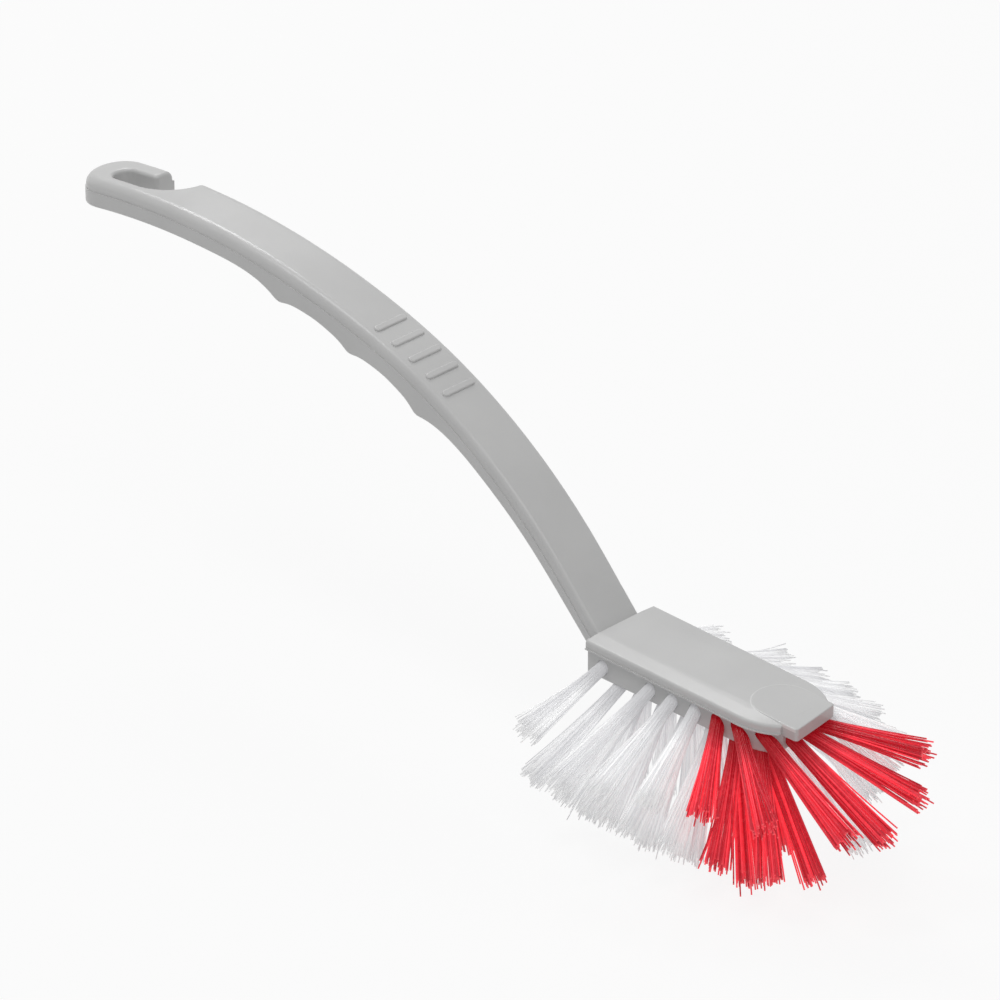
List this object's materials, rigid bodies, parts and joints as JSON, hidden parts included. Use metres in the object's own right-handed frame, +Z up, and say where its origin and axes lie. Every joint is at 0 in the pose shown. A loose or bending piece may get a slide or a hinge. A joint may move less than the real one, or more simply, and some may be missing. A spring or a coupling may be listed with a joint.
{
  "type": "dish brush",
  "caption": "Dish brush with an arched one-piece handle and head, a hanging hook, thumb ribs, finger grooves, a scraper nose and splayed white and red bristle tufts.",
  "frame": {"origin": "middle of the bottom of the bounding box, on the plane of the lowest bristle tips", "axes": "+X from the hook toward the scraper nose, +Y to the left of that direction, +Z up, away from the bristle tips"},
  "size_m": [0.283, 0.0816, 0.1072],
  "materials": {
    "grey_plastic": "satin light grey polypropylene",
    "white_bristle": "white nylon filament",
    "red_bristle": "red nylon filament",
    "anchor_steel": "plain flat wire"
  },
  "bodies": {
    "root": {"handle_head": "grey_plastic", "tuft_anchors": "anchor_steel", "tuft_centre_1": "white_bristle", "tuft_centre_2": "white_bristle", "tuft_centre_3": "white_bristle", "tuft_centre_4": "white_bristle", "tuft_centre_5": "red_bristle", "tuft_centre_6": "red_bristle", "tuft_front_centre": "red_bristle", "tuft_front_left": "red_bristle", "tuft_front_right": "red_bristle", "tuft_inner_left_1": "white_bristle", "tuft_inner_left_2": "white_bristle", "tuft_inner_left_3": "white_bristle", "tuft_inner_left_4": "white_bristle", "tuft_inner_left_5": "white_bristle", "tuft_inner_left_6": "white_bristle", "tuft_inner_right_1": "white_bristle", "tuft_inner_right_2": "white_bristle", "tuft_inner_right_3": "white_bristle", "tuft_inner_right_4": "white_bristle", "tuft_inner_right_5": "red_bristle", "tuft_inner_right_6": "red_bristle", "tuft_lower_left_1": "white_bristle", "tuft_lower_left_2": "white_bristle", "tuft_lower_left_3": "white_bristle", "tuft_lower_left_4": "white_bristle", "tuft_lower_left_5": "white_bristle", "tuft_lower_left_6": "white_bristle", "tuft_lower_left_7": "white_bristle", "tuft_lower_right_1": "white_bristle", "tuft_lower_right_2": "white_bristle", "tuft_lower_right_3": "white_bristle", "tuft_lower_right_4": "white_bristle", "tuft_lower_right_5": "white_bristle", "tuft_lower_right_6": "red_bristle", "tuft_lower_right_7": "red_bristle", "tuft_outer_left_1": "white_bristle", "tuft_outer_left_2": "white_bristle", "tuft_outer_left_3": "white_bristle", "tuft_outer_left_4": "white_bristle", "tuft_outer_left_5": "white_bristle", "tuft_outer_left_6": "white_bristle", "tuft_outer_left_7": "white_bristle", "tuft_outer_right_1": "white_bristle", "tuft_outer_right_2": "white_bristle", "tuft_outer_right_3": "white_bristle", "tuft_outer_right_4": "white_bristle", "tuft_outer_right_5": "red_bristle", "tuft_outer_right_6": "red_bristle", "tuft_outer_right_7": "red_bristle"}
  },
  "joints": []
}
